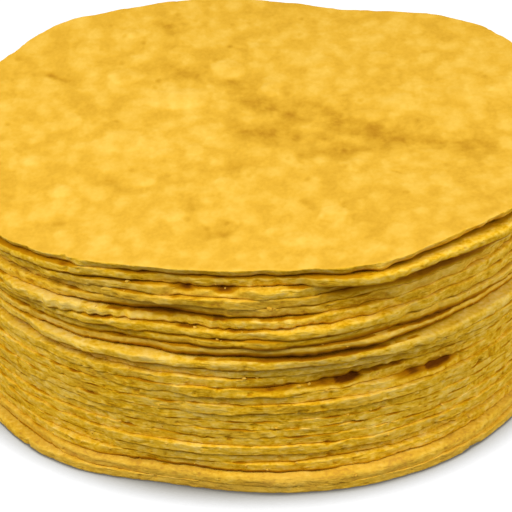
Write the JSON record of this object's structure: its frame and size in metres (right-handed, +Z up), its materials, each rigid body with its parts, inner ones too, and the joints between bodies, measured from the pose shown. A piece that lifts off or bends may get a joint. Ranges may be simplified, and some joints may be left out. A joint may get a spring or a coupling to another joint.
{
  "type": "corn tortilla stack",
  "caption": "Tall stack of soft round yellow corn tortillas lying flat on one another, with uneven rims, open gaps and a slight lean, standing on the flat underside of the lowest one.",
  "frame": {"origin": "centre of the stack's footprint, on the surface that it stands on", "axes": "+Z up through the pile; the front, where the most open gaps are, faces -Y; the pile is highest on the +X side"},
  "size_m": [0.1598, 0.1584, 0.0651],
  "materials": {
    "corn_masa": "matte"
  },
  "bodies": {
    "root": {"tortilla_01": "corn_masa", "tortilla_02": "corn_masa", "tortilla_03": "corn_masa", "tortilla_04": "corn_masa", "tortilla_05": "corn_masa", "tortilla_06": "corn_masa", "tortilla_07": "corn_masa", "tortilla_08": "corn_masa", "tortilla_09": "corn_masa", "tortilla_10": "corn_masa", "tortilla_11": "corn_masa", "tortilla_12": "corn_masa", "tortilla_13": "corn_masa", "tortilla_14": "corn_masa", "tortilla_15": "corn_masa", "tortilla_16": "corn_masa", "tortilla_17": "corn_masa", "tortilla_18": "corn_masa", "tortilla_19": "corn_masa", "tortilla_20": "corn_masa", "tortilla_21": "corn_masa", "tortilla_22": "corn_masa", "tortilla_23": "corn_masa", "tortilla_24": "corn_masa"}
  },
  "joints": []
}
